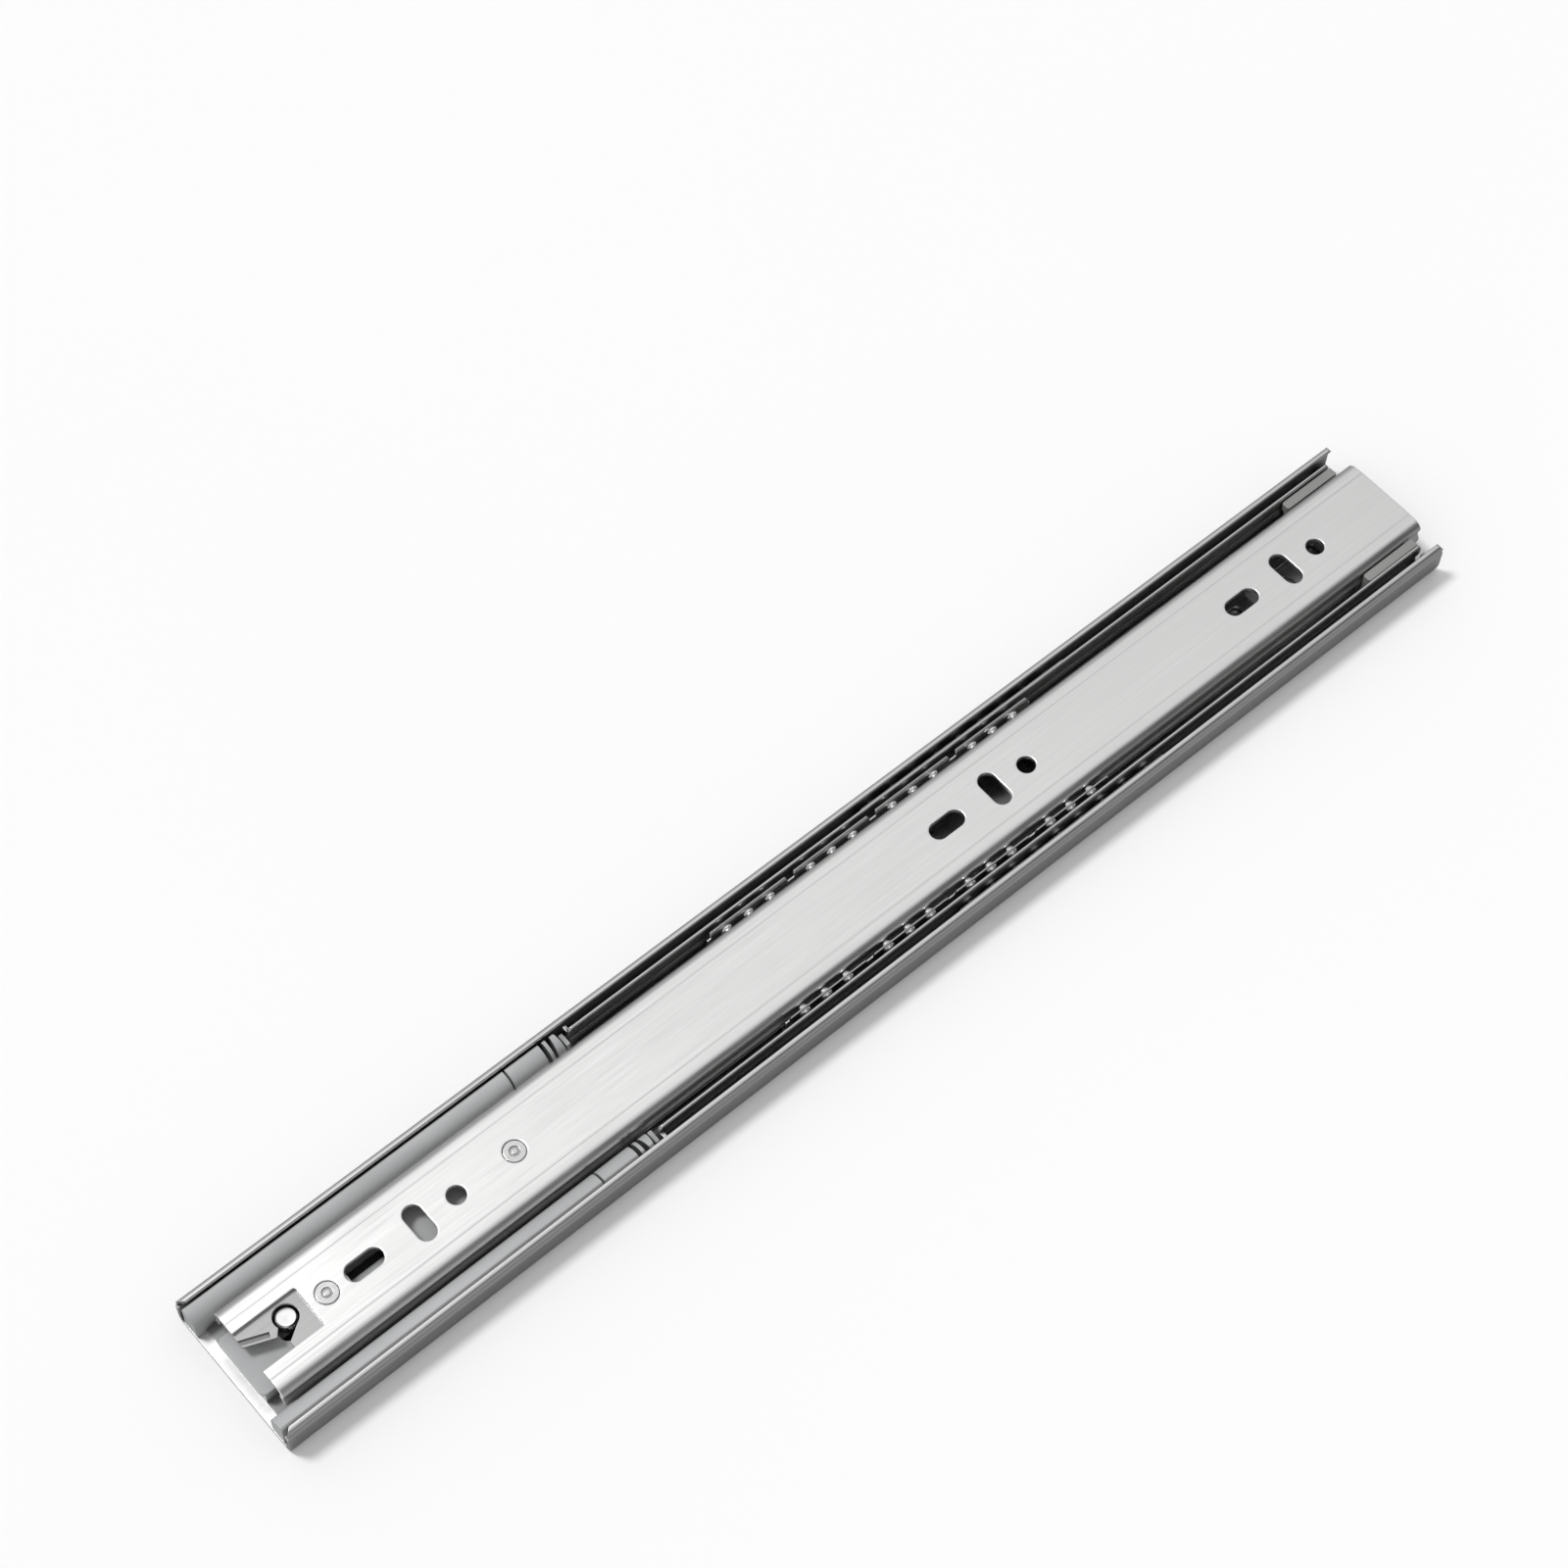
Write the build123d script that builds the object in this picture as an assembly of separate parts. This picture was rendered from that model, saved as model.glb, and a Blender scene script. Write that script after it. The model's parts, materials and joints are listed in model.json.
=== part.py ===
from build123d import *
from math import atan2, cos, degrees, radians, tan
import os

# ---------------------------------------------------------------- driving dimensions (mm)
# Full-extension ball-bearing drawer slide with a soft-close unit, lying on its cabinet face.
# Everything is drawn in stations: x runs from the slide's rear end to its front end,
# y across it and z up from the cabinet face. The finished nodes are moved by half the
# length, so that the origin ends up under the slide's middle.
LENGTH = 400.0
WIDTH = 46.0
HEIGHT = 12.7

OUTER_SHEET = 1.2
MIDDLE_SHEET = 1.0
INNER_SHEET = 1.2
BALL_RADIUS = 3.97 / 2
BALL_CLEARANCE = 0.045

MIDDLE_REAR, MIDDLE_FRONT = 119.5, 395.5
INNER_REAR = 5.4
LIP_TOP = 11.5
MIDDLE_TOP = 11.6

SOFT_TRAVEL = 34.0

# From the outside in: the cabinet member's wall, a ball row, the middle member's flange, a
# ball row and the drawer member's flank, each a ball and a running gap from the next
RUNNING_GAP = 0.025
OUTER_WALL_Y = WIDTH / 2 - OUTER_SHEET / 2
OUTER_ROW_Y, OUTER_ROW_Z = WIDTH / 2 - OUTER_SHEET - RUNNING_GAP - BALL_RADIUS, 5.0
MIDDLE_FLANGE_Y = OUTER_ROW_Y - 1.69
INNER_ROW_Y, INNER_ROW_Z = MIDDLE_FLANGE_Y - MIDDLE_SHEET / 2 - RUNNING_GAP - BALL_RADIUS, 8.4
INNER_FLANK_Y = INNER_ROW_Y - 1.84
OUTER_CAGE_REAR, OUTER_CAGE_FRONT = 221.0, 294.5
INNER_CAGE_REAR, INNER_CAGE_FRONT = 164.0, 278.0
OUTER_CAGE_SHEET = 0.4
INNER_CAGE_SHEET = 0.5
OUTER_BALLS_X = [225.5 + 8.0 * i for i in range(9)]
INNER_BALLS_X = [170.4 + 28.8 * group + 7.4 * i for group in range(4) for i in range(3)]
INNER_CAGE_CRESTS = [(165.0 + 28.7 * i, 191.4 + 28.7 * i) for i in range(4)]

# Screw hole groups of the drawer member: round hole, cross slot and length slot
HOLE_GROUPS_X = [69.4, 262.3, 371.8]
SCREW_HOLE_RADIUS = 2.6
SLOT_LENGTH, SLOT_WIDTH = 11.0, 5.3
CROSS_SLOT_BACK = 11.5
LENGTH_SLOT_BACK = 28.6

# Holes of the cabinet member
CABINET_HOLES = [(8.0, 2.9), (214.5, 3.6), (228.6, 2.5), (312.0, 3.6), (343.0, 2.5),
                 (362.6, 3.5), (374.0, 2.4), (394.3, 2.4)]
CABINET_SLOTS_X = [198.0, 329.3]
CABINET_SLOT_LENGTH, CABINET_SLOT_WIDTH = 10.2, 5.0
LUG_WINDOW_X, LUG_WINDOW = 85.7, 7.8

# Soft-close unit
HOUSING_REAR, HOUSING_FRONT = 0.15, 99.7
BUFFER_REAR, BUFFER_FRONT = 100.4, 118.6
WING_INNER, WING_OUTER, WING_TOP = 15.4, 20.35, 10.5
FLOOR_BOTTOM, FLOOR_TOP = 1.25, 2.1
COVER_BOTTOM, COVER_TOP = 6.5, 7.3
COVER_REAR, COVER_HALF = 2.1, 9.6
BLOCK_REAR, CHAMBER_HALF = 3.0, 9.4
CATCH_X, CATCH_Y = 18.5, 2.6
CATCH_HEAD_RADIUS = 2.8
DAMPER_Y, DAMPER_Z = -6.4, 4.3
DAMPER_REAR, DAMPER_FRONT = 56.0, 97.4
SPRINGS_Y = {"left": 7.0, "right": -2.0}
SPRING_REAR, SPRING_FRONT = 5.0, 61.5
SPRING_Z = 4.35

# Notch in the drawer member over the soft-close catch, and the rolled rims of punched holes
NOTCH_WIDTH = 12.6
RIM_RADIUS = 0.22

# Rivets that show in the drawer member's face
CATCH_RIVET_X, LEVER_RIVET_X = 29.4, 87.8
RIVET_HEAD_RADIUS = 3.0


# ---------------------------------------------------------------- helpers
def sheet_section(points, radii, sheet):
    """Face of a bent sheet whose middle line runs through these points, with rounded edges."""
    spots = [Vector(*point) for point in points]
    runs = [(b - a).normalized() for a, b in zip(spots, spots[1:])]
    sideways = [Vector(-run.Y, run.X) for run in runs]
    half = sheet / 2
    faces = []
    for side in (half, -half):
        corners = [spots[0] + sideways[0] * side]
        for spot, a, b in zip(spots[1:], sideways, sideways[1:]):
            corners.append(spot + (a + b) * (side / (1 + a.dot(b))))
        corners.append(spots[-1] + sideways[-1] * side)
        bends = [radius - side if a.cross(b).Z > 0 else radius + side
                 for radius, a, b in zip(radii, runs, runs[1:])]
        faces.append(FilletPolyline(*corners, radius=bends))
    start_cap = ThreePointArc(faces[0] @ 0, spots[0] - runs[0] * half, faces[1] @ 0)
    end_cap = ThreePointArc(faces[0] @ 1, spots[-1] + runs[-1] * half, faces[1] @ 1)
    return make_face([*faces[0].edges(), *faces[1].edges(), start_cap, end_cap])


def channel(edge_to_web, radii, sheet, rear, front):
    """Roll-formed channel from rear to front. The points give the sheet's middle line on
    the left side, from the flange's edge to the web corner, or on to a step in the web."""
    right_side = [(-y, z) for y, z in reversed(edge_to_web)]
    section = sheet_section([*edge_to_web, *right_side], [*radii, *reversed(radii)], sheet)
    return Pos(rear, 0, 0) * extrude(Plane.YZ * section, amount=front - rear)


def race(row_y, row_z, radius, half_turn, upper_y, lower_y):
    """Corner points, from the top down, of a bend that wraps a ball row with this radius."""
    turn = radians(half_turn)
    bottom_y = row_y - radius / cos(turn)
    upper_z = row_z + (upper_y - bottom_y) / tan(turn)
    lower_z = row_z - (lower_y - bottom_y) / tan(turn)
    return [(upper_y, upper_z), (bottom_y, row_z), (lower_y, lower_z)]


def block(x, y, z):
    """Box between three (low, high) pairs."""
    size = [high - low for low, high in (x, y, z)]
    return Pos(x[0], y[0], z[0]) * Box(*size, align=(Align.MIN,) * 3)


def post(x, y, radius, bottom, top):
    """Upright cylinder."""
    return Pos(x, y, bottom) * Cylinder(radius, top - bottom, align=(Align.CENTER, Align.CENTER, Align.MIN))


def rod(rear, front, y, z, radius):
    """Cylinder lying along the slide."""
    lying = Rot(0, 90, 0) * Cylinder(radius, front - rear, align=(Align.CENTER, Align.CENTER, Align.MIN))
    return Pos(rear, y, z) * lying


def upright(face, bottom, top):
    """Prism on a face drawn in plan."""
    return Pos(0, 0, bottom) * extrude(face, amount=top - bottom)


def both_sides(shape):
    """The shape and its mirror image across the centre plane."""
    return shape + mirror(shape, Plane.XZ)


def outline(*edges):
    """Face inside a closed run of edges."""
    return make_face(Wire(list(edges)))


def end_crops(rear, front, edge_z, up):
    """Cutters that round the corners of both flanges at a channel's ends, seen from its side."""
    size, past = 1.6, 0.2
    corner = outline(
        Line((-past, edge_z - up * size), (-past, edge_z + up * past)),
        Line((-past, edge_z + up * past), (size, edge_z + up * past)),
        ThreePointArc((size, edge_z + up * past), (size * 0.3, edge_z - up * size * 0.3),
                      (-past, edge_z - up * size)),
    )
    cutter = Pos(0, WIDTH, 0) * extrude(Plane.XZ * corner, amount=2 * WIDTH)
    return [Pos(rear, 0, 0) * cutter, Pos(front, 0, 0) * mirror(cutter, Plane.YZ)]


def eased_rims(member, face, radius):
    """The member with the rims of the round holes and slots in this face rolled over."""
    longest = 2 * (SLOT_LENGTH + SLOT_WIDTH)
    rims = [wire.edges() for wire in face.inner_wires() if wire.length < longest]
    return fillet([edge for rim in rims for edge in rim], radius)


def polygon(*points):
    return make_face(Polyline(*points, close=True))


# ---------------------------------------------------------------- cabinet (outer) member
def tongue_window_middle():
    """U-shaped slit that leaves a sprung mounting tongue, rooted at its rear."""
    def tongue_shape(rear, rear_half, front, front_half, nose):
        return outline(
            Line((rear, -rear_half), (front, -front_half)),
            ThreePointArc((front, -front_half), (nose, 0), (front, front_half)),
            Line((front, front_half), (rear, rear_half)),
            Line((rear, rear_half), (rear, -rear_half)),
        )
    slit = tongue_shape(190.5, 12.8, 231.0, 9.8, 238.3) - tongue_shape(188.0, 11.2, 231.0, 7.0, 234.9)
    return slit


def tongue_window_front():
    """Opening around the two opposed mounting tongues near the front."""
    left_rear, left_front = (318.5, 12.9), (380.8, 15.8)
    right_rear, right_front = (318.5, -12.9), (380.8, -15.8)
    opening = outline(
        ThreePointArc(left_rear, (346.0, 10.9), left_front),
        Line(left_front, right_front),
        ThreePointArc(right_front, (346.0, -10.9), right_rear),
        Line(right_rear, left_rear),
    )
    rear_tongue = outline(
        Line((312.0, 8.2), (336.0, 7.4)),
        ThreePointArc((336.0, 7.4), (350.7, 0), (336.0, -7.4)),
        Line((336.0, -7.4), (312.0, -8.2)),
        Line((312.0, -8.2), (312.0, 8.2)),
    )
    front_tongue = outline(
        Line((388.0, 10.6), (366.0, 8.4)),
        ThreePointArc((366.0, 8.4), (355.3, 0), (366.0, -8.4)),
        Line((366.0, -8.4), (388.0, -10.6)),
        Line((388.0, -10.6), (388.0, 10.6)),
    )
    return opening - rear_tongue - front_tongue


def outer_member():
    wall = OUTER_WALL_Y
    web = OUTER_SHEET / 2
    profile = [(wall - 1.05, LIP_TOP - web), (wall, 10.62), (wall - 0.4, 9.4), (wall, 8.5), (wall, 3.0),
               (wall - 0.2, 2.2), (wall - 0.2, web)]
    member = channel(profile, [0.7, 0.7, 1.2, 2.0, 2.0, 1.3], OUTER_SHEET, 0, LENGTH)
    cut_depth = (-1, OUTER_SHEET + 0.5)
    for x, radius in CABINET_HOLES:
        member -= post(x, 0, radius, *cut_depth)
    for x in CABINET_SLOTS_X:
        member -= upright(Pos(x, 0) * SlotOverall(CABINET_SLOT_LENGTH, CABINET_SLOT_WIDTH), *cut_depth)
    member -= upright(Pos(LUG_WINDOW_X, 0) * Rectangle(LUG_WINDOW, LUG_WINDOW), *cut_depth)
    member -= upright(tongue_window_middle(), *cut_depth)
    member -= upright(tongue_window_front(), *cut_depth)
    member = eased_rims(member, member.faces().sort_by(Axis.Z)[0], RIM_RADIUS)
    # Stops lanced out of the web near the front, which hold the ball cage in
    member -= both_sides(block((391.4, 395.6), (14.0, 20.6), cut_depth))
    member += both_sides(block((395.8, 397.0), (18.9, 20.4), (0.6, 7.2)))
    # The lips are cropped at an angle at the rear
    member -= both_sides(upright(polygon((-1, 20.0), (2.0, 20.0), (2.0, 21.0), (-1, 24.0)), 9.0, HEIGHT))
    return member - end_crops(0, LENGTH, LIP_TOP, 1)[1]


# ---------------------------------------------------------------- middle member
def middle_member():
    web = 2.4
    half = MIDDLE_SHEET / 2
    race_radius = BALL_RADIUS + BALL_CLEARANCE + half
    upper_y, lower_y = MIDDLE_FLANGE_Y, MIDDLE_FLANGE_Y - 0.4
    outer_race = race(OUTER_ROW_Y, OUTER_ROW_Z, race_radius, 22, upper_y, lower_y)
    profile = [(upper_y, MIDDLE_TOP - half), *outer_race, (lower_y, web)]
    member = channel(profile, [2.0, race_radius, 1.0, 0.8], MIDDLE_SHEET, MIDDLE_REAR, MIDDLE_FRONT)
    # Windows that let a screwdriver through to the cabinet member's holes
    windows = [(191.0, 219.0, 4.6), (225.0, 232.4, 3.7), (307.6, 316.4, 4.2), (322.0, 347.0, 4.2),
               (351.0, 378.0, 5.6)]
    for rear, front, half_width in windows:
        window = Pos((rear + front) / 2, 0) * RectangleRounded(front - rear, 2 * half_width, 1.5)
        member -= upright(window, web - 1, web + 1)
    # Ears turned outwards at the rear push on the outer ball cage when the slide is open
    member -= end_crops(MIDDLE_REAR, MIDDLE_FRONT, MIDDLE_TOP, 1)
    return member + both_sides(block((MIDDLE_REAR, MIDDLE_REAR + 1.0), (17.6, 20.4), (6.6, 9.6)))


def front_stop():
    """Nylon clip across the middle member's front: its ends stop the inner ball cage."""
    cheek = block((376.4, MIDDLE_FRONT), (14.6, 16.25), (3.0, 10.6))
    cheek += block((376.4, MIDDLE_FRONT), (14.6, 17.2), (8.0, 10.6))
    cheek = fillet(cheek.edges().filter_by(Axis.Z).group_by(Axis.X)[0], 0.7)
    strap = block((386.0, MIDDLE_FRONT), (-14.7, 14.7), (3.0, 3.5))
    return both_sides(cheek) + strap


# ---------------------------------------------------------------- drawer (inner) member
def inner_member():
    half = INNER_SHEET / 2
    web = HEIGHT - half
    step = 0.12
    flank_y, flange_end = INNER_FLANK_Y, 4.8
    race_radius = BALL_RADIUS + BALL_CLEARANCE + half
    inner_race = race(INNER_ROW_Y, INNER_ROW_Z, race_radius, 30, flank_y, flank_y)
    shoulder = [(12.3, web - step - 0.15), (10.3, web - step)]
    profile = [(flank_y, flange_end + half), *reversed(inner_race), *shoulder, (9.3, web - step), (8.96, web)]
    bends = [0.7, race_radius, 1.05, 2.4, 5.0, 0.65, 0.65]
    member = channel(profile, bends, INNER_SHEET, INNER_REAR, LENGTH)
    cut_depth = (HEIGHT - INNER_SHEET - 0.5, HEIGHT + 1)
    for x in HOLE_GROUPS_X:
        member -= post(x, 0, SCREW_HOLE_RADIUS, *cut_depth)
        cross_slot = Rot(0, 0, 90) * SlotOverall(SLOT_LENGTH, SLOT_WIDTH)
        member -= upright(Pos(x - CROSS_SLOT_BACK, 0) * cross_slot, *cut_depth)
        length_slot = SlotOverall(SLOT_LENGTH, SLOT_WIDTH)
        member -= upright(Pos(x - LENGTH_SLOT_BACK, 0) * length_slot, *cut_depth)
    # Notch over the soft-close catch, open to the rear
    notch = Pos(14.1, 0) * RectangleRounded(20.2, NOTCH_WIDTH, 0.8)
    notch += Pos(7.0, 0) * Rectangle(10.0, NOTCH_WIDTH)
    member -= upright(notch, *cut_depth)
    for x in (CATCH_RIVET_X, LEVER_RIVET_X):
        member -= post(x, 0, 1.5, *cut_depth)
        member -= post(x, 0, RIVET_HEAD_RADIUS + 0.12, HEIGHT - 0.4, HEIGHT + 1)
    member = eased_rims(member, member.faces().sort_by(Axis.Z)[-1], RIM_RADIUS)
    return member - end_crops(INNER_REAR, LENGTH, flange_end, -1)


def tubular_rivet(x, grip_bottom, tail_radius, shank_radius):
    """Rivet with a flush, hollow head in the drawer member and its tail under the grip."""
    head = post(x, 0, RIVET_HEAD_RADIUS, HEIGHT - 0.4, HEIGHT - 0.02)
    head = chamfer(head.edges().group_by(Axis.Z)[-1], 0.12)
    rivet = head + post(x, 0, shank_radius, grip_bottom, HEIGHT - 0.2)
    rivet += post(x, 0, tail_radius, grip_bottom - 0.7, grip_bottom)
    return rivet - post(x, 0, 1.45, HEIGHT - 0.3, HEIGHT + 1) + post(x, 0, 0.8, HEIGHT - 0.31, HEIGHT - 0.1)


def catch_plate():
    """Striker plate under the drawer member's notch: a hooked opening holds the catch pin, and
    the slanted edge of the plate's left arm leads the pin back in from the rear."""
    top, sheet = HEIGHT - INNER_SHEET, 0.8
    rear, front, half_width = 5.4, 36.0, 8.6
    lead_rear, lead_front = (rear, 2.2), (13.4, -1.1)
    tip = (15.2, -4.0)
    hole_x, hole_y, hole_radius = 18.2, 2.0, 3.4
    plate = block((rear, front), (-half_width, half_width), (top - sheet, top))
    plate -= upright(polygon((rear - 1, lead_rear[1] + 0.4), lead_rear, lead_front, tip, (tip[0], -9.5),
                             (rear - 1, -9.5)), top - 2, top + 1)
    arm_corner = plate.edges().filter_by(Axis.Z).sort_by_distance(Vertex(*lead_rear, top))[0]
    plate = fillet(arm_corner, 0.6)
    opening = Pos(hole_x, hole_y) * Circle(hole_radius)
    opening += polygon((hole_x - hole_radius + 0.25, hole_y - 1.2), lead_front, tip,
                       (hole_x + 2.3, hole_y - 2.5), (hole_x, hole_y))
    plate -= upright(opening, top - 3, top + 1)
    # Crease along the lead-in edge: steep towards the arm, shallow up to the edge's crest
    lead_angle = degrees(atan2(lead_front[1] - lead_rear[1], lead_front[0] - lead_rear[0]))
    groove = polygon((2.15, top + 0.2), (1.85, top - 0.38), (0.45, top + 0.02))
    crease = extrude(Plane.YZ * groove, amount=8.4)
    plate -= Pos(rear - 1.2, lead_rear[1] + 0.5, 0) * Rot(0, 0, lead_angle) * crease
    return plate - post(CATCH_RIVET_X, 0, 1.5, top - 2, top + 1)


def release_lever():
    """Lever that lets the drawer member go; it turns on its rivet under the web."""
    hub = Pos(LEVER_RIVET_X, 0) * Circle(4.6)
    arm = polygon((LEVER_RIVET_X, 4.0), (128.0, 2.6), (128.0, -2.6), (LEVER_RIVET_X, -4.0))
    thumb = Pos(128.0, 0) * Circle(4.2)
    latch = polygon((101.0, -2.5), (103.5, -8.0), (106.0, -8.0), (108.5, -2.5))
    lever = upright(hub + arm + thumb + latch, 9.0, 11.2)
    lever += upright(Pos(128.0, 0) * Circle(3.0), 7.4, 9.0)
    return lever - post(LEVER_RIVET_X, 0, 1.58, 8, 12)


# ---------------------------------------------------------------- ball cages and balls
def ball_pockets(stations, y, z):
    """Round pockets through both strips of a cage, a little larger than the balls."""
    pocket = Rot(90, 0, 0) * Cylinder(BALL_RADIUS + BALL_CLEARANCE, 3.0)
    return [Pos(x, side * y, z) * pocket for x in stations for side in (-1, 1)]


def outer_ball_cage():
    web = 1.55
    half = OUTER_CAGE_SHEET / 2
    profile = [(OUTER_ROW_Y, 8.6 - half), (OUTER_ROW_Y, web)]
    cage = channel(profile, [0.5], OUTER_CAGE_SHEET, OUTER_CAGE_REAR, OUTER_CAGE_FRONT)
    cage -= ball_pockets(OUTER_BALLS_X, OUTER_ROW_Y, OUTER_ROW_Z)
    middle = (OUTER_CAGE_REAR + OUTER_CAGE_FRONT) / 2
    cage -= upright(Pos(middle, 0) * RectangleRounded(50, 24, 3), 0, 3)
    return cage


def inner_ball_cage():
    web = 3.75
    half = INNER_CAGE_SHEET / 2
    profile = [(INNER_ROW_Y + 0.5, 11.5 - half), (INNER_ROW_Y, 10.2), (INNER_ROW_Y, web)]
    cage = channel(profile, [1.5, 0.6], INNER_CAGE_SHEET, INNER_CAGE_REAR, INNER_CAGE_FRONT)
    side_view = Pos(0, 2.0) * polygon((INNER_CAGE_REAR, 0), (INNER_CAGE_FRONT, 0), (INNER_CAGE_FRONT, 7.4),
                                      (INNER_CAGE_REAR, 7.4))
    for rear, front in INNER_CAGE_CRESTS:
        side_view += Pos((rear + front) / 2, 9.0) * RectangleRounded(front - rear, 6.0, 1.8)
    cage &= Pos(0, 20, 0) * extrude(Plane.XZ * side_view, amount=40)
    cage -= ball_pockets(INNER_BALLS_X, INNER_ROW_Y, INNER_ROW_Z)
    middle = (INNER_CAGE_REAR + INNER_CAGE_FRONT) / 2
    return cage - upright(Pos(middle, 0) * RectangleRounded(90, 20, 3), 3, 5)


def balls(stations, y, z):
    return Compound([Pos(x, y, z) * Sphere(BALL_RADIUS) for x in stations])


# ---------------------------------------------------------------- soft-close unit
def wing_section():
    """Section of the soft-close unit's left wing, which rolls over towards the drawer member."""
    outer_top = (WING_OUTER - 0.5, WING_TOP)
    roll_start = (WING_INNER + 4.0, WING_TOP)
    roll_middle = (WING_INNER + 1.6, WING_TOP - 0.85)
    roll_end = (WING_INNER, WING_TOP - 3.2)
    return outline(
        Line((WING_INNER, FLOOR_BOTTOM), (19.8, FLOOR_BOTTOM)),
        Line((19.8, FLOOR_BOTTOM), (WING_OUTER, 2.6)),
        Line((WING_OUTER, 2.6), (WING_OUTER, WING_TOP - 0.5)),
        Line((WING_OUTER, WING_TOP - 0.5), outer_top),
        Line(outer_top, roll_start),
        ThreePointArc(roll_start, roll_middle, roll_end),
        Line(roll_end, (WING_INNER, FLOOR_BOTTOM)),
    )


def soft_close_housing():
    """Moulded trough: floor, two side wings and the walls of the mechanism's chamber."""
    floor = block((BLOCK_REAR, HOUSING_FRONT), (-19.8, 19.8), (FLOOR_BOTTOM, FLOOR_TOP))
    wing = Pos(HOUSING_REAR, 0, 0) * extrude(Plane.YZ * wing_section(), amount=HOUSING_FRONT - HOUSING_REAR)
    chamber = block((BLOCK_REAR, HOUSING_FRONT), (-CHAMBER_HALF, CHAMBER_HALF), (FLOOR_BOTTOM, COVER_BOTTOM))
    inside = CHAMBER_HALF - 0.6
    hollow = block((BLOCK_REAR + 1.0, HOUSING_FRONT - 1.2), (-inside, inside), (FLOOR_TOP, COVER_BOTTOM + 1))
    housing = floor + both_sides(wing) + (chamber - hollow)
    lug_half = LUG_WINDOW / 2 - 0.25
    lug_x = (LUG_WINDOW_X - lug_half, LUG_WINDOW_X + lug_half)
    housing += block(lug_x, (-lug_half, lug_half), (0.35, FLOOR_BOTTOM + 0.1))
    # Saddles that carry the damper
    for x in (60.0, 90.0):
        saddle = block((x, x + 2.0), (-inside - 0.05, DAMPER_Y + 1.9), (FLOOR_TOP - 0.1, 3.6))
        housing += saddle - rod(x - 1, x + 3, DAMPER_Y, DAMPER_Z, 2.12)
    for y in SPRINGS_Y.values():
        housing += post(SPRING_REAR, y, 0.6, FLOOR_TOP - 0.1, 6.2)
    return housing


def soft_close_cover():
    """Lid that overhangs the chamber, with the opening that the catch pin runs along."""
    lid_length = HOUSING_FRONT - COVER_REAR
    middle = (HOUSING_FRONT + COVER_REAR) / 2
    lid = upright(Pos(middle, 0) * RectangleRounded(lid_length, 2 * COVER_HALF, 1.8), COVER_BOTTOM, COVER_TOP)
    lid = fillet(lid.edges().group_by(Axis.Z)[-1], 0.35)
    slot_front = CATCH_X + SOFT_TRAVEL + 2.2
    slot = Pos((CATCH_X + slot_front) / 2, CATCH_Y) * Rectangle(slot_front - CATCH_X, 3.8)
    pocket = Pos(19.8, 2.2) * RectangleRounded(10.4, 9.4, 2.6)
    return lid - upright(pocket + slot, COVER_BOTTOM - 1, COVER_TOP + 1)


def end_buffer():
    """Front end of the soft-close unit: two blocks with buffer ribs, joined by a thin floor."""
    def slice_of_wing(rear, front):
        return Pos(rear, 0, 0) * extrude(Plane.YZ * wing_section(), amount=front - rear)
    body = slice_of_wing(BUFFER_REAR, 111.2)
    foot = block((BUFFER_REAR, BUFFER_FRONT), (WING_INNER, 19.8), (FLOOR_BOTTOM, 5.2))
    rib = slice_of_wing(112.4, 113.4)
    wedge = slice_of_wing(114.3, 116.9)
    taper = polygon((114.3, WING_INNER), (116.9, WING_INNER), (116.2, WING_OUTER), (114.9, WING_OUTER))
    wedge &= upright(taper, 0, HEIGHT)
    tail = block((117.4, BUFFER_FRONT), (WING_INNER + 0.6, 19.6), (3.0, 8.4))
    side = body + foot + rib + wedge + tail
    return both_sides(side) + block((BUFFER_REAR, 110.0), (-WING_INNER - 1, WING_INNER + 1),
                                    (FLOOR_BOTTOM, 2.0))


def catch_slider():
    """Slide inside the chamber that carries the catch pin and stretches the springs."""
    body = block((12.0, 26.0), (-0.1, 5.2), (2.2, 6.2))
    arm = block((25.0, 64.0), (1.0, 4.2), (2.2, 3.6))
    crossbar = block((59.5, 64.0), (-3.6, 8.5), (2.2, 2.7))
    foot = block((12.0, 15.0), (-8.4, 0.5), (2.2, 2.6))
    ear = block((12.0, 15.0), (-8.4, -4.6), (2.2, 6.2)) - rod(11, 16, DAMPER_Y, DAMPER_Z, 0.7)
    slider = body + arm + crossbar + foot + ear - post(CATCH_X, CATCH_Y, 1.6, 2.6, 8)
    for y in SPRINGS_Y.values():
        slider += post(SPRING_FRONT, y, 0.6, 2.6, 6.1)
    return slider


def catch_pin():
    head = post(CATCH_X, CATCH_Y, CATCH_HEAD_RADIUS, 7.5, 9.65)
    head = chamfer(head.edges().group_by(Axis.Z)[-1], 0.35)
    return head + post(CATCH_X, CATCH_Y, 1.6, 2.6, 7.6)


def damper_cylinder():
    tube = rod(DAMPER_REAR, DAMPER_FRONT, DAMPER_Y, DAMPER_Z, 2.1)
    tube -= rod(DAMPER_REAR + 1.0, DAMPER_FRONT - 0.8, DAMPER_Y, DAMPER_Z, 1.65)
    return tube - rod(DAMPER_REAR - 1, DAMPER_REAR + 2, DAMPER_Y, DAMPER_Z, 0.76)


def damper_piston_rod():
    return rod(12.0, 59.0, DAMPER_Y, DAMPER_Z, 0.7)


def damper_piston():
    """Piston on the damper rod's front end, with a groove for its seal."""
    piston = rod(58.0, 60.4, DAMPER_Y, DAMPER_Z, 1.58) - rod(57.0, 59.0, DAMPER_Y, DAMPER_Z, 0.7)
    groove = rod(59.3, 59.8, DAMPER_Y, DAMPER_Z, 2.0) - rod(59.2, 59.9, DAMPER_Y, DAMPER_Z, 1.3)
    return piston - groove


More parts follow.
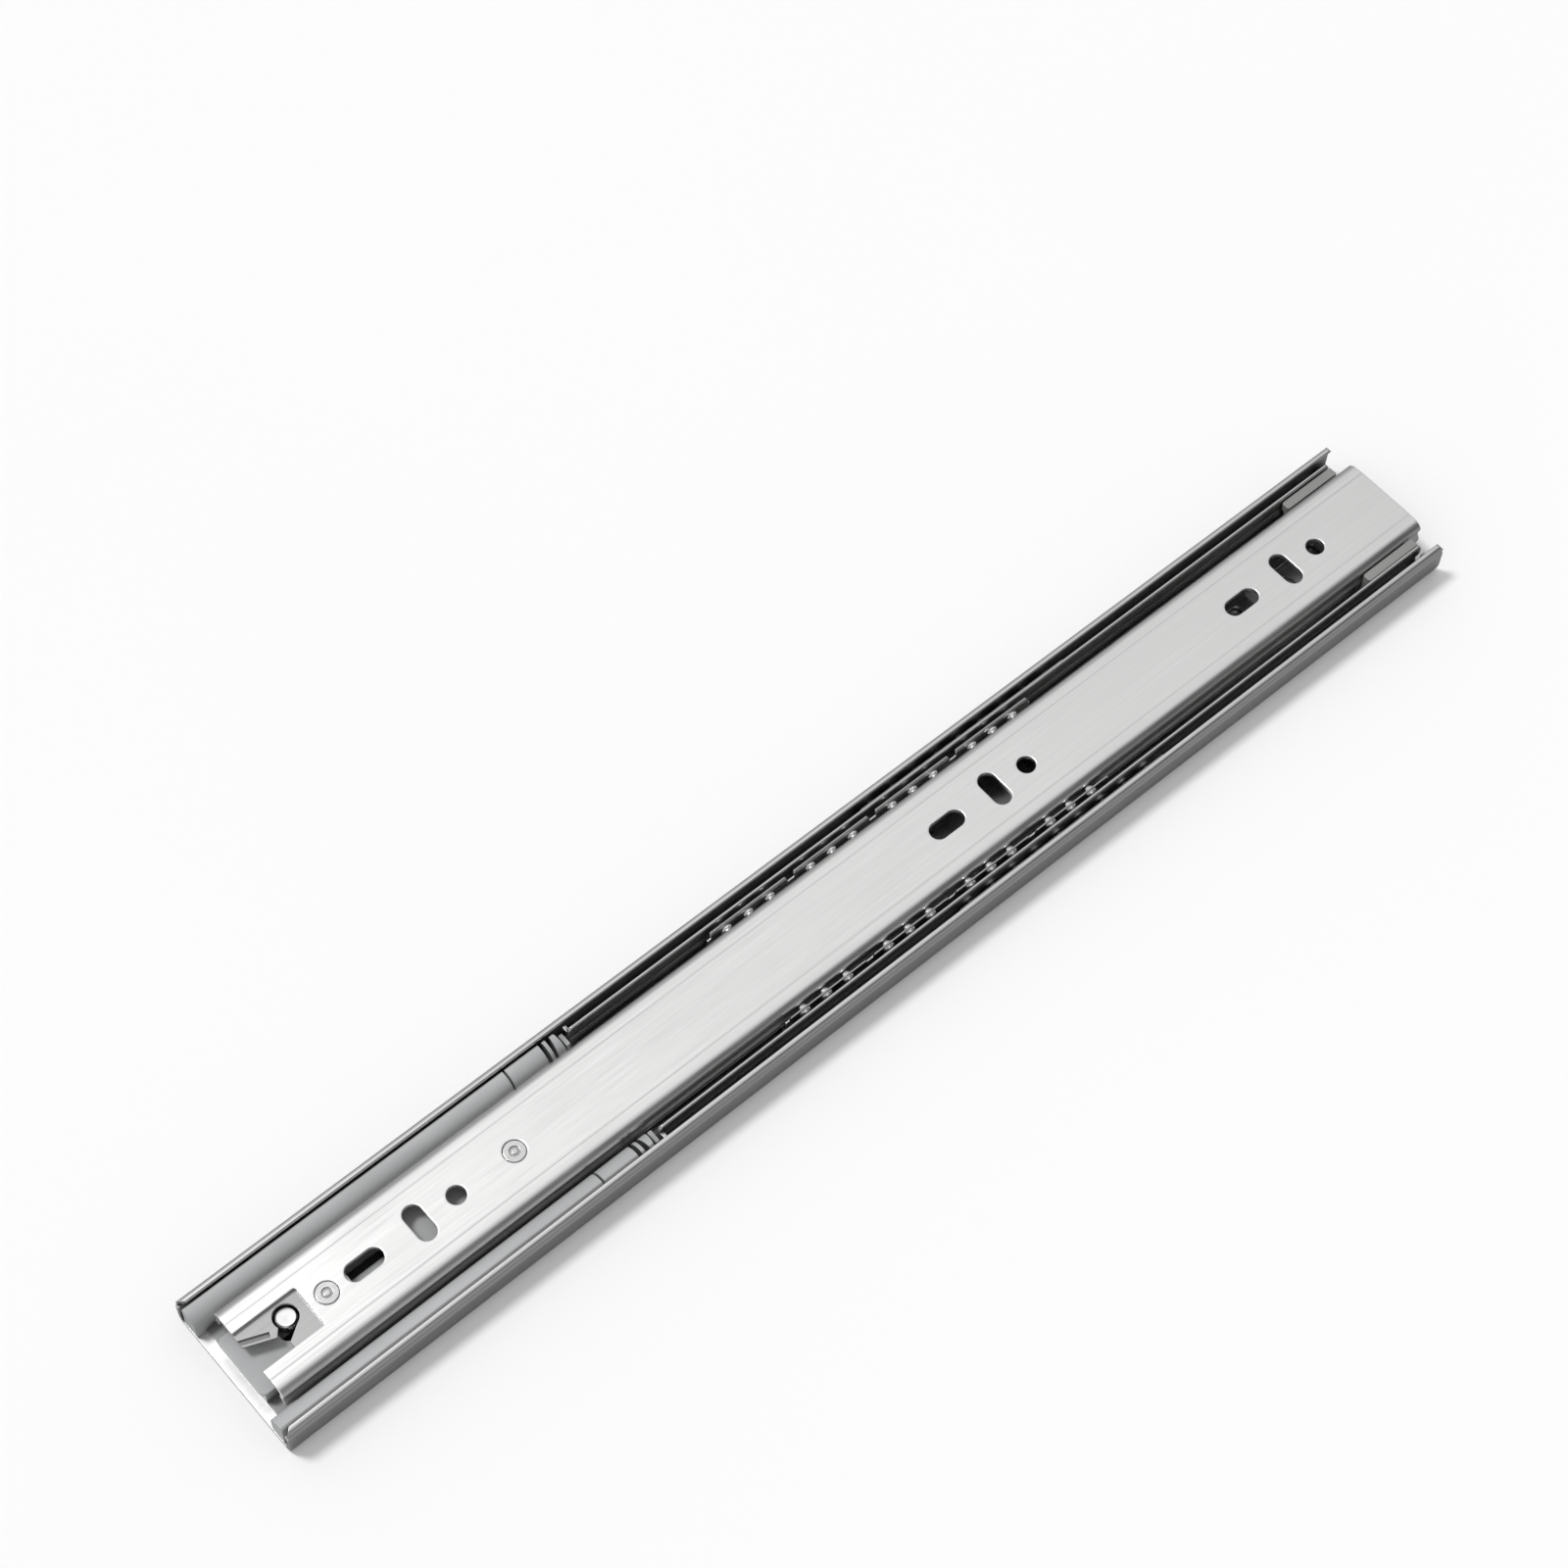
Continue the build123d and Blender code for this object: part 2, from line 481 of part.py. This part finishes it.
def tension_spring(y):
    """Close-wound tension spring: a ribbed tube of touching coils with an eye at each end."""
    coil_radius, wire, bore = 1.05, 0.8, 0.6
    rear, front = SPRING_REAR + 1.9, SPRING_FRONT - 1.9
    count = int((front - rear) / wire)
    start = (rear + front - count * wire) / 2
    ribs = [(start, bore), (start, coil_radius)]
    for i in range(count):
        ribs += [(start + (i + 0.5) * wire, coil_radius + wire / 2), (start + (i + 1) * wire, coil_radius)]
    ribs.append((start + count * wire, bore))
    spring = Pos(0, y, SPRING_Z) * revolve(Plane.XZ * polygon(*ribs), Axis.X)
    for x, side in ((SPRING_REAR + 0.5, 1), (SPRING_FRONT - 0.5, -1)):
        spring += Pos(x, y, SPRING_Z) * Torus(1.2, 0.32)
        spring += Pos(x + side * 1.6, y, SPRING_Z) * Rot(0, 90, 0) * Cylinder(0.9, 1.2)
    for x in (SPRING_REAR, SPRING_FRONT):
        spring -= post(x, y, 0.65, 0, 9)
    return spring


# ---------------------------------------------------------------- all nodes
def build_nodes():
    nodes = {
        "outer_member": outer_member(),
        "middle_member": middle_member(),
        "inner_member": inner_member(),
        "front_stop": front_stop(),
        "catch_plate": catch_plate(),
        "catch_plate_rivet": tubular_rivet(CATCH_RIVET_X, HEIGHT - INNER_SHEET - 0.8, 2.6, 1.5),
        "release_lever": release_lever(),
        "release_lever_rivet": tubular_rivet(LEVER_RIVET_X, 8.8, 2.5, 1.5),
        "outer_ball_cage": outer_ball_cage(),
        "inner_ball_cage": inner_ball_cage(),
        "soft_close_housing": soft_close_housing(),
        "soft_close_cover": soft_close_cover(),
        "end_buffer": end_buffer(),
        "catch_slider": catch_slider(),
        "catch_pin": catch_pin(),
        "damper_cylinder": damper_cylinder(),
        "damper_piston_rod": damper_piston_rod(),
        "damper_piston": damper_piston(),
    }
    for side, sign in (("left", 1), ("right", -1)):
        nodes[f"outer_balls_{side}"] = balls(OUTER_BALLS_X, sign * OUTER_ROW_Y, OUTER_ROW_Z)
        nodes[f"inner_balls_{side}"] = balls(INNER_BALLS_X, sign * INNER_ROW_Y, INNER_ROW_Z)
        nodes[f"catch_spring_{side}"] = tension_spring(SPRINGS_Y[side])
    return nodes


os.makedirs("parts", exist_ok=True)
for name, shape in build_nodes().items():
    export_step(Pos(-LENGTH / 2, 0, 0) * shape, f"parts/{name}.step")
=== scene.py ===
import bpy
import json
import math
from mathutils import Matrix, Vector

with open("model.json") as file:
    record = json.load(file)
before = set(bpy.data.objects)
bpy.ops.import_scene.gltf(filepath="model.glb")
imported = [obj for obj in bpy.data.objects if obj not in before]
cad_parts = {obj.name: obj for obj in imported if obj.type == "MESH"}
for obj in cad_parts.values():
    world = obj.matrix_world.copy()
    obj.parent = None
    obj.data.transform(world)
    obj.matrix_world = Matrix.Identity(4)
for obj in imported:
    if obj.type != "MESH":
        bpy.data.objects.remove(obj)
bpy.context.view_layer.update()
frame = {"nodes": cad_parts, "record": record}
NODES = frame["nodes"]

MM = 0.001

# ------------------------------------------------------------ camera and floor (metres, degrees)
CAMERA_PLACE = Vector((-0.31487, -0.31222, 0.81509))
CAMERA_TURN = (30.675, -1.166, -40.859)
CAMERA_LENS_MM = 80.675
CAMERA_FAR_CLIP = 20.0
FILM_MM = 36.0

FLOOR_HALF_SIZE = 3.0
FLOOR_DROP = 0.0002
FLOOR_DARK, FLOOR_PALE = 0.93, 0.95
FLOOR_DRIFT = (3.0, 3.0, 3.0)
FLOOR_ROUGHNESS = 0.9
FLOOR_SPECULAR = 0.1
FLOOR_IN_GLOSS = 0.30

# ------------------------------------------------------------ light
# Radiance of each zone. A zone is a direction with an inner and an outer half-angle in degrees.
DOME_LIGHT = 0.62
BACKDROP_LIGHT = 0.97
WALL_LIGHT = 0.46
SOFTBOX_LIGHT = 0.90
SOFTBOX = ((0.12, 0.25, 0.96), 20, 48)
BLACK_FLAG_LIGHT = 0.07
BLACK_FLAG = ((0.50, -0.68, 0.54), 16, 36)
KEY_DIRECTION = (-0.24, 0.40, 0.88)
KEY_SUN = 1.5
KEY_SUN_ANGLE = 14

# ------------------------------------------------------------ surface detail
# Noise scales are per metre, the first along the slide. A share is how far a layer covers.
# Near-black colour of the painted shade laid into the folds and hollows of each piece.
PAINTED_SHADE_TONE = 0.03
BUMP_DEPTH = 0.02 * MM
EDGE_FACING = (0.995, 0.90)
# Occlusion range over which that painted shade in folds fades in.
CREVICE_OPENNESS = (0.94, 0.62)

STREAKS = (14.0, 1300.0, 1300.0)
FINE_STREAKS = (56.0, 4160.0, 4160.0)
BLOTCHES = (22.0, 70.0, 70.0)
HAIRLINES = (6.0, 900.0, 900.0)
STEEL_WARMTH = 0.004
STREAK_RELIEF, FINE_RELIEF = 0.7, 0.3
BLOTCH_TONE, BLOTCH_SHARE = 0.90, 0.35
HAIRLINE_TONE, HAIRLINE_SHARE = 0.72, 0.25
# Painted highlight: steel edges painted lighter by this tone, capped at this limit, over this share.
STEEL_EDGE_HIGHLIGHT_TONE, STEEL_EDGE_HIGHLIGHT_LIMIT, STEEL_EDGE_HIGHLIGHT_SHARE = 1.25, 0.96, 0.7

SWIRLS = (2600.0, 2600.0, 2600.0)
OIL_FILM = (350.0, 350.0, 350.0)
OIL_TONE, OIL_WARMTH, OIL_SHARE = 0.86, 0.006, 0.5
SWIRL_RELIEF = 0.06
SWIRL_DEPTH = 0.01 * MM

PEBBLE_SIZE = 0.16 * MM
PLASTIC_DRIFT = (28.0, 60.0, 60.0)
PLASTIC_EDGE = 0.25 * MM
# Plastic edges: a painted highlight over this share, and less roughness by this polish.
PLASTIC_EDGE_HIGHLIGHT_SHARE, PLASTIC_EDGE_POLISH = 0.6, 0.12
PEBBLE_SHARE = 0.35
# Painted shade in the folds of plastic: its share and the occlusion reach.
FOLD_SHADE_SHARE = 0.7
FOLD_SHADE_REACH = 4 * MM


# ------------------------------------------------------------ node helpers
def node(tree, kind, inputs=None, **settings):
    """Adds a node, sets its properties, and fills or links its input sockets."""
    made = tree.nodes.new(kind)
    for key, value in settings.items():
        setattr(made, key, value)
    for socket, value in (inputs or {}).items():
        if isinstance(value, bpy.types.NodeSocket):
            tree.links.new(value, made.inputs[socket])
        else:
            made.inputs[socket].default_value = value
    return made


def new_tree(name):
    """A material with a Principled shader wired to its output, and its node tree."""
    material = bpy.data.materials.new(name)
    material.use_nodes = True
    tree = material.node_tree
    tree.nodes.clear()
    shader = node(tree, "ShaderNodeBsdfPrincipled")
    output = node(tree, "ShaderNodeOutputMaterial")
    tree.links.new(shader.outputs["BSDF"], output.inputs["Surface"])
    return material, tree, shader


def stretched_noise(tree, scale, detail=3.0, roughness=0.55):
    """Noise fixed to the piece, with its own scale (per metre) along x, y and z."""
    place = node(tree, "ShaderNodeTexCoord").outputs["Object"]
    mapped = node(tree, "ShaderNodeMapping", {"Vector": place, "Scale": scale})
    noise = node(tree, "ShaderNodeTexNoise",
                 {"Vector": mapped.outputs["Vector"], "Scale": 1.0,
                  "Detail": detail, "Roughness": roughness})
    return noise.outputs["Fac"]


def ramp(tree, value, low, high, out_low=0.0, out_high=1.0):
    """Smooth step of a value from low..high to out_low..out_high."""
    return node(tree, "ShaderNodeMapRange",
                {"Value": value, "From Min": low, "From Max": high,
                 "To Min": out_low, "To Max": out_high},
                interpolation_type="SMOOTHSTEP").outputs["Result"]


def math_node(tree, operation, a, b):
    return node(tree, "ShaderNodeMath", {0: a, 1: b}, operation=operation).outputs["Value"]


def mix_colour(tree, factor, a, b):
    """Colour a at factor 0 and colour b at factor 1. Each is a socket or three numbers."""
    mixed = node(tree, "ShaderNodeMix", {"Factor": factor}, data_type="RGBA")
    for socket, colour in zip((6, 7), (a, b)):
        if isinstance(colour, bpy.types.NodeSocket):
            tree.links.new(colour, mixed.inputs[socket])
        else:
            mixed.inputs[socket].default_value = (*colour, 1.0)
    return mixed.outputs[2]


def layer(tree, under, over, mask, share):
    """Lays one colour over another where the mask is, up to its share."""
    return mix_colour(tree, math_node(tree, "MULTIPLY", mask, share), under, over)


def edge_mask(tree, radius):
    """1 along the edges of a piece and 0 on its flats, with the rounded normal that goes with it."""
    rounded = node(tree, "ShaderNodeBevel", {"Radius": radius}, samples=6).outputs["Normal"]
    flat = node(tree, "ShaderNodeNewGeometry").outputs["Normal"]
    facing = node(tree, "ShaderNodeVectorMath", {0: rounded, 1: flat}, operation="DOT_PRODUCT")
    return ramp(tree, facing.outputs["Value"], *EDGE_FACING), rounded


def fold_shade_mask(tree, reach):
    """1 in the folds of a piece, where painted shade goes, and 0 on its open faces."""
    openness = node(tree, "ShaderNodeAmbientOcclusion", {"Distance": reach},
                    samples=8, only_local=True)
    return ramp(tree, openness.outputs["AO"], *CREVICE_OPENNESS)


def wire(tree, shader, colour, roughness, bump):
    """Links what every finish computes to its shader."""
    tree.links.new(colour, shader.inputs["Base Color"])
    tree.links.new(roughness, shader.inputs["Roughness"])
    tree.links.new(bump.outputs["Normal"], shader.inputs["Normal"])


def grey(value, warmth=0.0):
    return (value * (1 + warmth), value, value * (1 - warmth))


# ------------------------------------------------------------ materials
def brushed_metal(name, tone, roughness, grain=0.03, relief=0.18, edge=0.22 * MM,
                  fold_shade=0.95, reach=9 * MM, burnish=0.0):
    """Sheet metal with grain along the slide, faint blotches, fine scratches, edges painted lighter
    as a highlight and near-black painted shade in its folds. Burnished edges scatter light instead
    of mirroring it."""
    material, tree, shader = new_tree(name)
    streaks = stretched_noise(tree, STREAKS, 4.0, 0.6)
    fine = stretched_noise(tree, FINE_STREAKS, 2.0, 0.5)
    blotches = stretched_noise(tree, BLOTCHES, 3.0, 0.5)
    hairline = ramp(tree, stretched_noise(tree, HAIRLINES, 5.0, 0.7), 0.66, 0.74)
    edges, rounded = edge_mask(tree, edge)

    shade = mix_colour(tree, ramp(tree, streaks, 0.3, 0.7),
                       grey(tone * (1 - grain), STEEL_WARMTH),
                       grey(tone * (1 + grain), STEEL_WARMTH))
    shade = mix_colour(tree, ramp(tree, blotches, 0.35, 0.7, 0.0, BLOTCH_SHARE),
                       shade, grey(tone * BLOTCH_TONE, STEEL_WARMTH))
    shade = layer(tree, shade, grey(tone * HAIRLINE_TONE, STEEL_WARMTH), hairline, HAIRLINE_SHARE)
    # Painted highlight: a lighter colour along the edges.
    shade = layer(tree, shade, grey(min(tone * STEEL_EDGE_HIGHLIGHT_TONE, STEEL_EDGE_HIGHLIGHT_LIMIT)),
                  edges, STEEL_EDGE_HIGHLIGHT_SHARE)
    # Painted shade: near black laid into the piece's own folds and hollows.
    shade = layer(tree, shade, grey(PAINTED_SHADE_TONE), fold_shade_mask(tree, reach), fold_shade)

    gloss = math_node(tree, "ADD",
                      ramp(tree, fine, 0.3, 0.7, roughness - 0.05, roughness + 0.05),
                      ramp(tree, blotches, 0.35, 0.7, -0.02, 0.04))
    height = math_node(tree, "ADD", math_node(tree, "MULTIPLY", streaks, STREAK_RELIEF),
                       math_node(tree, "MULTIPLY", fine, FINE_RELIEF))
    bump = node(tree, "ShaderNodeBump", {"Strength": relief, "Distance": BUMP_DEPTH,
                                         "Height": height, "Normal": rounded})
    wire(tree, shader, shade, gloss, bump)
    if burnish:
        tree.links.new(ramp(tree, edges, 0.0, 1.0, 1.0, 1.0 - burnish), shader.inputs["Metallic"])
    else:
        shader.inputs["Metallic"].default_value = 1.0
    return material


def polished_metal(name, tone, roughness):
    """Hardened and polished steel with faint swirl marks and a thin film of oil."""
    material, tree, shader = new_tree(name)
    swirl = stretched_noise(tree, SWIRLS, 3.0, 0.6)
    film = stretched_noise(tree, OIL_FILM, 3.0, 0.5)
    shade = mix_colour(tree, ramp(tree, film, 0.4, 0.75, 0.0, OIL_SHARE),
                       grey(tone), grey(tone * OIL_TONE, OIL_WARMTH))
    gloss = ramp(tree, film, 0.3, 0.8, roughness, roughness + 0.1)
    bump = node(tree, "ShaderNodeBump",
                {"Strength": SWIRL_RELIEF, "Distance": SWIRL_DEPTH, "Height": swirl})
    wire(tree, shader, shade, gloss, bump)
    shader.inputs["Metallic"].default_value = 1.0
    return material


def moulded_plastic(name, colour, roughness, relief=0.25):
    """Injection-moulded plastic: spark-eroded grain, slow tone drift, polished corners painted
    lighter as a highlight, and painted shade in its folds."""
    material, tree, shader = new_tree(name)
    pebble = stretched_noise(tree, (1 / PEBBLE_SIZE,) * 3, 3.0, 0.6)
    drift = stretched_noise(tree, PLASTIC_DRIFT, 3.0, 0.5)
    edges, rounded = edge_mask(tree, PLASTIC_EDGE)
    dark = tuple(c * 0.90 for c in colour)
    light = tuple(min(c * 1.07 + 0.004, 1.0) for c in colour)
    # Lighter colour used as the painted highlight along edges.
    edge_highlight = tuple(min(c * 1.18 + 0.01, 1.0) for c in colour)

    shade = mix_colour(tree, ramp(tree, drift, 0.3, 0.7), dark, light)
    shade = mix_colour(tree, ramp(tree, pebble, 0.45, 0.75, 0.0, PEBBLE_SHARE), shade, dark)
    # Painted highlight: a lighter colour along the edges.
    shade = layer(tree, shade, edge_highlight, edges, PLASTIC_EDGE_HIGHLIGHT_SHARE)
    # Painted shade: near black laid into the piece's own folds.
    shade = layer(tree, shade, grey(PAINTED_SHADE_TONE), fold_shade_mask(tree, FOLD_SHADE_REACH), FOLD_SHADE_SHARE)

    gloss = math_node(tree, "SUBTRACT",
                      ramp(tree, pebble, 0.3, 0.7, roughness - 0.05, roughness + 0.07),
                      math_node(tree, "MULTIPLY", edges, PLASTIC_EDGE_POLISH))
    bump = node(tree, "ShaderNodeBump", {"Strength": relief, "Distance": BUMP_DEPTH,
                                         "Height": pebble, "Normal": rounded})
    wire(tree, shader, shade, gloss, bump)
    return material


# Every metal finish gets painted shade in its folds, at the default share or the one given here.
FINISHES = {
    "cabinet_member_steel": brushed_metal("cabinet_member_steel", 0.70, 0.36),
    "middle_member_steel": brushed_metal("middle_member_steel", 0.62, 0.30, relief=0.06),
    "drawer_member_steel": brushed_metal("drawer_member_steel", 0.72, 0.34, edge=0.5 * MM,
                                         reach=1.6 * MM, burnish=0.85),
    "cage_steel": brushed_metal("cage_steel", 0.58, 0.26, relief=0.1, fold_shade=0.6),
    "ball_steel": polished_metal("ball_steel", 0.78, 0.06),
    "pin_steel": polished_metal("pin_steel", 0.88, 0.20),
    "rivet_steel": brushed_metal("rivet_steel", 0.62, 0.28, reach=1 * MM, fold_shade=0.7),
    "catch_plate_steel": brushed_metal("catch_plate_steel", 0.35, 0.46, reach=1 * MM, fold_shade=0.8),
    "spring_steel": brushed_metal("spring_steel", 0.50, 0.30, fold_shade=0.3),
    "damper_steel": brushed_metal("damper_steel", 0.56, 0.25, fold_shade=0.3),
    "grey_plastic": moulded_plastic("grey_plastic", (0.43, 0.435, 0.44), 0.48),
    "light_nylon": moulded_plastic("light_nylon", (0.27, 0.27, 0.265), 0.38, relief=0.12),
    "black_plastic": moulded_plastic("black_plastic", (0.022, 0.022, 0.024), 0.42),
}


def paint_cad_nodes():
    """Every CAD node keeps its shape and gets the finish of its material slot in the record."""
    for entry in frame["record"]["subparts"]:
        for slot in NODES[entry["node"]].material_slots:
            slot.link = "OBJECT"
            slot.material = FINISHES[entry["material_slot"]]


# ------------------------------------------------------------ floor, light and camera
def pale_floor():
    """A plain pale sheet. Gloss sees it darker, as if its far parts were unlit."""
    half = FLOOR_HALF_SIZE
    mesh = bpy.data.meshes.new("floor")
    corners = [(-half, -half, 0), (half, -half, 0), (half, half, 0), (-half, half, 0)]
    mesh.from_pydata(corners, [], [(0, 1, 2, 3)])
    floor = bpy.data.objects.new("floor", mesh)
    floor.location.z = -FLOOR_DROP
    bpy.context.scene.collection.objects.link(floor)
    material, tree, shader = new_tree("pale_floor")
    drift = stretched_noise(tree, FLOOR_DRIFT, 2.0, 0.5)
    pale = mix_colour(tree, drift, grey(FLOOR_DARK), grey(FLOOR_PALE))
    glossy = node(tree, "ShaderNodeLightPath").outputs["Is Glossy Ray"]
    seen = mix_colour(tree, glossy, pale, grey(FLOOR_IN_GLOSS))
    tree.links.new(seen, shader.inputs["Base Color"])
    shader.inputs["Roughness"].default_value = FLOOR_ROUGHNESS
    shader.inputs["Specular IOR Level"].default_value = FLOOR_SPECULAR
    mesh.materials.append(material)


def lobe(tree, direction, towards, inner, outer):
    """1 within the inner angle of a direction, fading to 0 at the outer angle (degrees)."""
    facing = node(tree, "ShaderNodeVectorMath",
                  {0: direction, 1: Vector(towards).normalized()}, operation="DOT_PRODUCT")
    return ramp(tree, facing.outputs["Value"],
                math.cos(math.radians(outer)), math.cos(math.radians(inner)))


def studio_light():
    """White dome and a broad soft sun for matt surfaces. Gloss sees the sun, a softbox overhead
    and a black flag on the right instead of the dome, which is how polished metal is lit for a
    catalogue. The camera sees a white backdrop."""
    world = bpy.data.worlds.new("studio")
    bpy.context.scene.world = world
    world.use_nodes = True
    tree = world.node_tree
    tree.nodes.clear()
    direction = node(tree, "ShaderNodeTexCoord").outputs["Generated"]
    seen = mix_colour(tree, lobe(tree, direction, *BLACK_FLAG),
                      grey(WALL_LIGHT), grey(BLACK_FLAG_LIGHT))
    seen = mix_colour(tree, lobe(tree, direction, *SOFTBOX), seen, grey(SOFTBOX_LIGHT))
    path = node(tree, "ShaderNodeLightPath").outputs
    light = mix_colour(tree, path["Is Glossy Ray"], grey(DOME_LIGHT), seen)
    light = mix_colour(tree, path["Is Camera Ray"], light, grey(BACKDROP_LIGHT))
    background = node(tree, "ShaderNodeBackground", {"Color": light, "Strength": 1.0})
    output = node(tree, "ShaderNodeOutputWorld")
    tree.links.new(background.outputs["Background"], output.inputs["Surface"])

    sun = bpy.data.lights.new("key", "SUN")
    sun.energy = KEY_SUN
    sun.angle = math.radians(KEY_SUN_ANGLE)
    lamp = bpy.data.objects.new("key", sun)
    lamp.rotation_euler = (-Vector(KEY_DIRECTION)).to_track_quat("-Z", "Y").to_euler()
    bpy.context.scene.collection.objects.link(lamp)


def camera():
    data = bpy.data.cameras.new("camera")
    data.lens = CAMERA_LENS_MM
    data.sensor_width = FILM_MM
    data.clip_end = CAMERA_FAR_CLIP
    place = bpy.data.objects.new("camera", data)
    place.location = CAMERA_PLACE
    place.rotation_euler = [math.radians(turn) for turn in CAMERA_TURN]
    bpy.context.scene.collection.objects.link(place)
    bpy.context.scene.camera = place


paint_cad_nodes()
pale_floor()
studio_light()
camera()
bpy.context.scene.view_settings.view_transform = "Standard"
